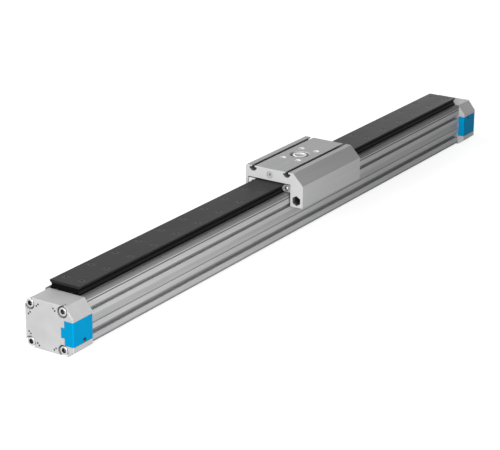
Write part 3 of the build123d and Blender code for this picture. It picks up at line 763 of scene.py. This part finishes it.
# Cap screws: four zinc-plated socket head screws in each cap, with a knurled head and a rounded top edge.
# One screw is turned up once, and Geometry Nodes set four of them square in each cap.
quarter = math.pi / 2
cap_face = round(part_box("far_cap")[1].x / mm, 2)
cap_screw_heads = cap_face - 0.7
cap_screw_mid_height = 25.6
cap_screw_spacing = 40.6
zinc = turned_metal(
    "bright zinc plated steel", (0.5, 0.5, 0.495), (0.62, 0.62, 0.61), rough=0.28, metallic=1, socket=0.2
)
cap_screw = turned_piece("cap_screw_pattern", [
    (0, -45.8, "round"),
    (2.2, -45.8, "round"),
    (2.45, -45.4, "round"),
    (2.45, -29.8, "round"),
    (3.0, -29.8, "round"),
    (3.0, -6.0, "round"),
    (4.8, -6.0, "round"),
    (4.98, -5.7, "knurl"),
    (4.98, -1.0, "knurl"),
    (4.85, -0.75, "round"),
    (4.6, -0.3, "round"),
    (4.1, 0, "round"),
    (2.75, 0, "hexagon"),
    (2.5, -0.25, "hexagon"),
    (2.5, -3.0, "hexagon"),
    (0, -3.4, "round"),
], 48)
for end, way in ends:
    screws = lay_out(
        f"{end}_cap_screw_set",
        cap_screw,
        zinc,
        (way * cap_screw_heads, 0, cap_screw_mid_height),
        seed=3 + way,
        counts=(2, 2),
        spans=(cap_screw_spacing, cap_screw_spacing),
        tilt=(0, way * quarter, 0),
    )
    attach(screws, "axis_frame")
    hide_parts(f"{end}_cap_screws")
bpy.data.objects.remove(cap_screw)


# Slide body: an aluminium saddle, drawn as one section and natural anodised, with its ends machined.
# It is the solid with its edges lightly broken, and carries faint die lines along the axis.
def slide_shade(tree, place, colour):
    """Painted shade on the saddle: its nut channel and slots are nearly black inside, and its top and its
    sloping side are painted a little darker."""
    geometry = add_node(tree, "ShaderNodeNewGeometry")
    # Painted shade: faces turned along these directions are painted darker.
    shaded_slope = ((0, -0.65, 0.76), 0.68)
    shaded_top = ((0, 0, 1), 0.84)
    # Painted shade: the nut channel and slots go nearly black inside.
    shaded = painted_hollow_shade(tree, colour, 0.014, (0.045, 0.045, 0.046), 0.25, 0.8)
    for direction, level in (shaded_slope, shaded_top):
        slope = add_node(tree, "ShaderNodeVectorMath", operation="DOT_PRODUCT")
        slope.inputs[1].default_value = direction
        mix = add_node(tree, "ShaderNodeMix", data_type="RGBA", blend_type="MULTIPLY")
        mix.inputs["B"].default_value = (level, level, level, 1)
        tree.links.new(geometry.outputs["Normal"], slope.inputs[0])
        tree.links.new(spread(tree, slope.outputs["Value"], 0, 1, 0.93, 0.98), mix.inputs["Factor"])
        tree.links.new(shaded, mix.inputs["A"])
        shaded = mix.outputs["Result"]
    return shaded


slide_low, slide_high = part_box("slide_body")
slide_rest = round((slide_low.x + slide_high.x) / 2 / mm, 2)
slide_half_length = round((slide_high.x - slide_low.x) / 2 / mm, 2)
slide_plus_side = round(slide_high.y / mm, 2)
slide_top = round(slide_high.z / mm, 2)
slide_finish = anodised_extrusion(
    "natural anodised slide",
    dark=(0.55, 0.55, 0.555),
    light=(0.66, 0.66, 0.665),
    cut_tone=(0.58, 0.58, 0.585),
    line_depth=0.000012,
    shade=slide_shade,
)
slide_piece = rounded_copy("slide_body", "slide_saddle", radius=0.25, shortest=2.0)
slide_piece.data.materials.append(slide_finish)
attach(slide_piece, "slide")
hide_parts("slide_body")


# Guide bars: two milled aluminium bars under the saddle's plate, each with a nose towards the rail.
# The solids stay, with milling marks across their length.
def milled_bar():
    """Milled and anodised aluminium with fine cutter marks across the bar."""
    material, tree, shader, place = shader_start("milled anodised bar")
    marks = noise(tree, place, (1, 0.06, 0.06), scale=1500, detail=2, roughness=0.5)
    cloud = noise(tree, place, (1, 1, 1), scale=60, detail=3, roughness=0.5)
    metal = tint(tree, spread(tree, cloud, 0, 1), (0.60, 0.60, 0.61), (0.70, 0.70, 0.71))
    tree.links.new(metal, shader.inputs["Base Color"])
    tree.links.new(spread(tree, marks, 0.3, 0.42), shader.inputs["Roughness"])
    shader.inputs["Metallic"].default_value = 0.75
    raise_by(tree, shader, ((marks, 0.000008),))
    return material


bar_finish = milled_bar()
dress("guide_bar_minus", bar_finish)
dress("guide_bar_plus", bar_finish)


# Bearing liners: strips of pale bearing polymer bonded to the bars' noses, which slide in the rail's
# notches. The solids stay, with a faintly speckled filled plastic.
def liner_plastic():
    """Pale filled polymer with small specks and a waxy surface."""
    material, tree, shader, place = shader_start("pale bearing polymer")
    specks = noise(tree, place, (1, 1, 1), scale=2400, detail=5, roughness=0.8)
    rubbed = noise(tree, place, (0.05, 1, 1), scale=800, detail=3, roughness=0.6)
    speckled = tint(tree, spread(tree, specks, 0, 1, 0.35, 0.7), (0.50, 0.49, 0.46), (0.66, 0.65, 0.61))
    tree.links.new(speckled, shader.inputs["Base Color"])
    tree.links.new(spread(tree, rubbed, 0.35, 0.55), shader.inputs["Roughness"])
    raise_by(tree, shader, ((rubbed, 0.000006),))
    return material


liner_finish = liner_plastic()
dress("bearing_liner_minus", liner_finish)
dress("bearing_liner_plus", liner_finish)


# Bar screws and end screws: the bars hang on eight countersunk screws driven up from below, and each end
# of a bar has one small pan head screw. The patterns are turned up and laid out by Geometry Nodes.
bar_screw_heads = 53.4
bar_screw_pitch = 30
bar_screw_rows = 47.6
bar_mid_height = 56.8
bar_end_screw_rows = 43.8
bar_end_screw_heads = slide_half_length - 0.4
bar_screw = turned_piece("bar_screw_pattern", [
    (0, 13.6, "round"),
    (1.4, 13.6, "round"),
    (1.65, 13.2, "round"),
    (1.65, 9.2, "round"),
    (2.0, 9.2, "round"),
    (2.0, 1.75, "round"),
    (3.7, 0.1, "round"),
    (3.6, 0, "round"),
    (1.35, 0, "hexagon"),
    (1.2, 0.15, "hexagon"),
    (1.2, 1.3, "hexagon"),
    (0, 1.6, "round"),
])
bar_screws = lay_out(
    "guide_bar_screw_rows",
    bar_screw,
    zinc,
    (slide_rest, 0, bar_screw_heads),
    seed=11,
    counts=(4, 2),
    spans=(3 * bar_screw_pitch, bar_screw_rows),
)
bpy.data.objects.remove(bar_screw)
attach(bar_screws, "slide")
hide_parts("guide_bar_screws")
end_screw = turned_piece("end_screw_pattern", [
    (0, -9.0, "round"),
    (1.3, -9.0, "round"),
    (1.5, -8.7, "round"),
    (1.5, -2.2, "round"),
    (2.4, -2.2, "round"),
    (2.5, -2.0, "round"),
    (2.5, -1.1, "round"),
    (2.3, -0.6, "round"),
    (1.9, -0.2, "round"),
    (1.4, 0, "round"),
    (0.85, 0, "hexagon"),
    (0.8, -0.08, "hexagon"),
    (0.8, -0.6, "hexagon"),
    (0, -0.7, "round"),
])
end_sets = [
    lay_out(
        f"bar_end_screws_{end}",
        end_screw,
        zinc,
        (slide_rest + way * bar_end_screw_heads, 0, bar_mid_height),
        seed=5 + way,
        counts=(1, 2),
        spans=(0, bar_end_screw_rows),
        tilt=(0, way * quarter, 0),
    )
    for end, way in ends
]
bpy.data.objects.remove(end_screw)
for end_set in end_sets:
    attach(end_set, "slide")
    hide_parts("guide_bar_end_screws")


# Adjusting screws: three zinc-plated grub screws in the thin skirt, which press on the +Y guide bar.
# Each has a hexagon socket and a rounded outer edge.
adjusting_screw_pitch = 36
adjusting_screw = turned_piece("adjusting_screw_pattern", [
    (0, -4.0, "round"),
    (1.9, -4.0, "round"),
    (2.5, -3.4, "round"),
    (2.5, -0.35, "round"),
    (2.2, 0, "round"),
    (1.4, 0, "hexagon"),
    (1.25, -0.15, "hexagon"),
    (1.25, -1.5, "hexagon"),
    (0, -1.8, "round"),
])
adjusting = lay_out(
    "adjusting_screw_row",
    adjusting_screw,
    zinc,
    (slide_rest, slide_plus_side, bar_mid_height),
    seed=4,
    counts=(3, 1),
    spans=(2 * adjusting_screw_pitch, 0),
    tilt=(-quarter, 0, 0),
)
bpy.data.objects.remove(adjusting_screw)
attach(adjusting, "slide")
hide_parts("adjusting_screws")


# Centring sleeve: a hardened and ground steel ring, pressed into the saddle's middle bore.
# It is turned with a lead-in chamfer at its mouth and has fine grinding rings on its face and wall.
def ground_steel():
    """Hardened ground steel with fine rings round the piece's own axis."""
    material, tree, shader, place = shader_start("ground hardened steel")
    centred = add_node(tree, "ShaderNodeMapping")
    centred.inputs["Location"].default_value = (-slide_rest * mm, 0, 0)
    rings = add_node(tree, "ShaderNodeTexWave", wave_type="RINGS", rings_direction="Z")
    rings.inputs["Scale"].default_value = 900
    rings.inputs["Distortion"].default_value = 3
    rings.inputs["Detail"].default_value = 3
    tree.links.new(place, centred.inputs["Vector"])
    tree.links.new(centred.outputs["Vector"], rings.inputs["Vector"])
    metal = tint(tree, rings.outputs["Fac"], (0.80, 0.80, 0.80), (0.90, 0.90, 0.90))
    tree.links.new(metal, shader.inputs["Base Color"])
    tree.links.new(spread(tree, rings.outputs["Fac"], 0.26, 0.36, 0, 1), shader.inputs["Roughness"])
    shader.inputs["Metallic"].default_value = 0.4
    raise_by(tree, shader, ((rings.outputs["Fac"], 0.000003),))
    return material


sleeve = turned_piece("centring_ring", [
    (6.0, 67.4, "round"),
    (7.7, 67.4, "round"),
    (8.0, 67.7, "round"),
    (8.0, 75.9, "round"),
    (7.8, 76.1, "round"),
    (6.5, 76.1, "round"),
    (6.0, 75.6, "round"),
    (6.0, 67.4, "round"),
], 64)
sleeve.data.transform(Matrix.Translation((slide_rest * mm, 0, 0)))
soften_shading(sleeve.data, 30)
sleeve.data.materials.append(ground_steel())
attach(sleeve, "slide")
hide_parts("centring_sleeve")


# Thread inserts: four steel bushes for the load's screws, with a countersunk mouth over an M6 thread.
# The thread's turns are rings of alternating radius, and Geometry Nodes set the four bushes in place.
insert_spacing = (40, 20)
bush = [
    (2.6, -10.0, "round"),
    (3.9, -10.0, "round"),
    (3.9, -0.15, "round"),
    (3.75, 0, "round"),
    (3.2, 0, "round"),
]
thread = []
for turn in range(9):
    thread += [(2.52, -0.9 - turn, "round"), (2.95, -1.4 - turn, "round")]
insert = turned_piece("insert_pattern", bush + thread + bush[:1], 32)
insert_finish = turned_metal(
    "turned insert steel", (0.84, 0.84, 0.84), (0.94, 0.94, 0.94), rough=0.3, metallic=0.1
)
inserts = lay_out(
    "thread_insert_set",
    insert,
    insert_finish,
    (slide_rest, 0, slide_top),
    seed=9,
    counts=(2, 2),
    spans=insert_spacing,
)
bpy.data.objects.remove(insert)
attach(inserts, "slide")
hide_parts("thread_inserts")


# Port screws: one grub screw closes the lubrication port in each end of the saddle's plate.
# They are turned up like the adjusting screws and set by Geometry Nodes.
port_height = 69.4
port_screw_heads = slide_half_length - 0.3
port_finish = turned_metal(
    "dull zinc plated steel", (0.42, 0.42, 0.42), (0.5, 0.5, 0.5), rough=0.5, metallic=0, socket=0.7
)
port_screw = turned_piece("port_screw_pattern", [
    (0, -5.0, "round"),
    (3.6, -5.0, "round"),
    (4.0, -4.5, "round"),
    (4.0, -0.4, "round"),
    (3.7, 0, "round"),
    (1.6, 0, "hexagon"),
    (1.5, -0.1, "hexagon"),
    (1.5, -1.7, "hexagon"),
    (0, -2.0, "round"),
], 48)
port_sets = [
    lay_out(
        f"port_screw_{end}",
        port_screw,
        port_finish,
        (slide_rest + way * port_screw_heads, 0, port_height),
        seed=2,
        tilt=(0, way * quarter, 0),
    )
    for end, way in ends
]
bpy.data.objects.remove(port_screw)
for port_set in port_sets:
    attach(port_set, "slide")
    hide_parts("port_screws")


# Studio: a plain white floor that keeps the soft shadow, and a white surround for camera and reflections.
# Four soft lamps stand round the axis, with the brightest one towards the near end.
def seen_or_mirrored(tree):
    """One for rays from the camera and for those that a mirror or glass sends on, else nothing."""
    path = add_node(tree, "ShaderNodeLightPath")
    total = path.outputs["Is Camera Ray"]
    for kind in ("Is Glossy Ray", "Is Transmission Ray"):
        larger = add_node(tree, "ShaderNodeMath", operation="MAXIMUM")
        tree.links.new(total, larger.inputs[0])
        tree.links.new(path.outputs[kind], larger.inputs[1])
        total = larger.outputs[0]
    return total


half_floor = 6
below_axis = 0.0005
floor = bpy.data.meshes.new("floor")
floor.from_pydata(
    [
        (-half_floor, -half_floor, 0),
        (half_floor, -half_floor, 0),
        (half_floor, half_floor, 0),
        (-half_floor, half_floor, 0),
    ],
    [],
    [(0, 1, 2, 3)],
)
floor_object = bpy.data.objects.new("floor", floor)
floor_object.location.z = -below_axis
bpy.context.scene.collection.objects.link(floor_object)
floor_finish = bpy.data.materials.new("white floor")
floor_finish.use_nodes = True
floor_tree = floor_finish.node_tree
floor_shader = next(n for n in floor_tree.nodes if n.type == "BSDF_PRINCIPLED")
floor_shader.inputs["Base Color"].default_value = (0.5, 0.5, 0.5, 1)
floor_shader.inputs["Roughness"].default_value = 0.9
floor_shader.inputs["Specular IOR Level"].default_value = 0.1
floor.materials.append(floor_finish)
lift = add_node(floor_tree, "ShaderNodeEmission")
lift.inputs["Strength"].default_value = 0.8
lifted = add_node(floor_tree, "ShaderNodeAddShader")
floor_pick = add_node(floor_tree, "ShaderNodeMixShader")
floor_output = next(n for n in floor_tree.nodes if n.type == "OUTPUT_MATERIAL")
floor_tree.links.new(floor_shader.outputs[0], lifted.inputs[0])
floor_tree.links.new(lift.outputs[0], lifted.inputs[1])
floor_tree.links.new(seen_or_mirrored(floor_tree), floor_pick.inputs[0])
floor_tree.links.new(floor_shader.outputs[0], floor_pick.inputs[1])
floor_tree.links.new(lifted.outputs[0], floor_pick.inputs[2])
floor_tree.links.new(floor_pick.outputs[0], floor_output.inputs["Surface"])

world = bpy.data.worlds.new("white surround")
bpy.context.scene.world = world
world.use_nodes = True
sky = world.node_tree
background = next(n for n in sky.nodes if n.type == "BACKGROUND")
background.inputs["Color"].default_value = (1, 1, 1, 1)
background.inputs["Strength"].default_value = 0.11
white = add_node(sky, "ShaderNodeBackground")
white.inputs["Color"].default_value = (1, 1, 1, 1)
white.inputs["Strength"].default_value = 1
pick = add_node(sky, "ShaderNodeMixShader")
output = next(n for n in sky.nodes if n.type == "OUTPUT_WORLD")
sky.links.new(seen_or_mirrored(sky), pick.inputs[0])
sky.links.new(background.outputs[0], pick.inputs[1])
sky.links.new(white.outputs[0], pick.inputs[2])
sky.links.new(pick.outputs[0], output.inputs["Surface"])


def soft_lamp(name, place, aim, size, power):
    """A square area lamp at a place, aimed at a point, in metres."""
    lamp = bpy.data.lights.new(name, "AREA")
    lamp.size = size
    lamp.energy = power
    obj = bpy.data.objects.new(name, lamp)
    obj.location = place
    obj.rotation_euler = (Vector(aim) - Vector(place)).to_track_quat("-Z", "Y").to_euler()
    obj.visible_camera = False
    bpy.context.scene.collection.objects.link(obj)


middle = (0, 0, 0.04)
soft_lamp("end lamp", (-7.2, -0.25, 2.0), middle, size=3, power=372)
soft_lamp("far lamp", (6.5, 1.2, 1.1), middle, size=3, power=100)
soft_lamp("back lamp", (-0.35, 1.2, 1.3), middle, size=1.2, power=13)
soft_lamp("side lamp", (-0.46, -0.6, 0.2), (-0.2, 0, 0.04), size=0.4, power=2.65)


# Camera: a long lens a little over two metres away, low in front of the near end.
# Its place, direction and small shift put the axis where the photograph has it.
camera = bpy.data.cameras.new("camera")
camera.lens = 134.385
camera.shift_x = 0.00832
camera.shift_y = -0.00528
camera.clip_end = 50
camera_object = bpy.data.objects.new("camera", camera)
forward = Vector((0.78511049, 0.51509826, -0.34391177))
right = Vector((0.54978995, -0.8352932, 0.0040353))
up = right.cross(forward)
turn = Matrix((right, up, -forward)).transposed().to_4x4()
camera_object.matrix_world = Matrix.Translation((-1.71051771, -1.07448716, 0.74421955)) @ turn
bpy.context.scene.collection.objects.link(camera_object)
bpy.context.scene.camera = camera_object
bpy.context.scene.view_settings.view_transform = "Standard"

bpy.context.view_layer.update()
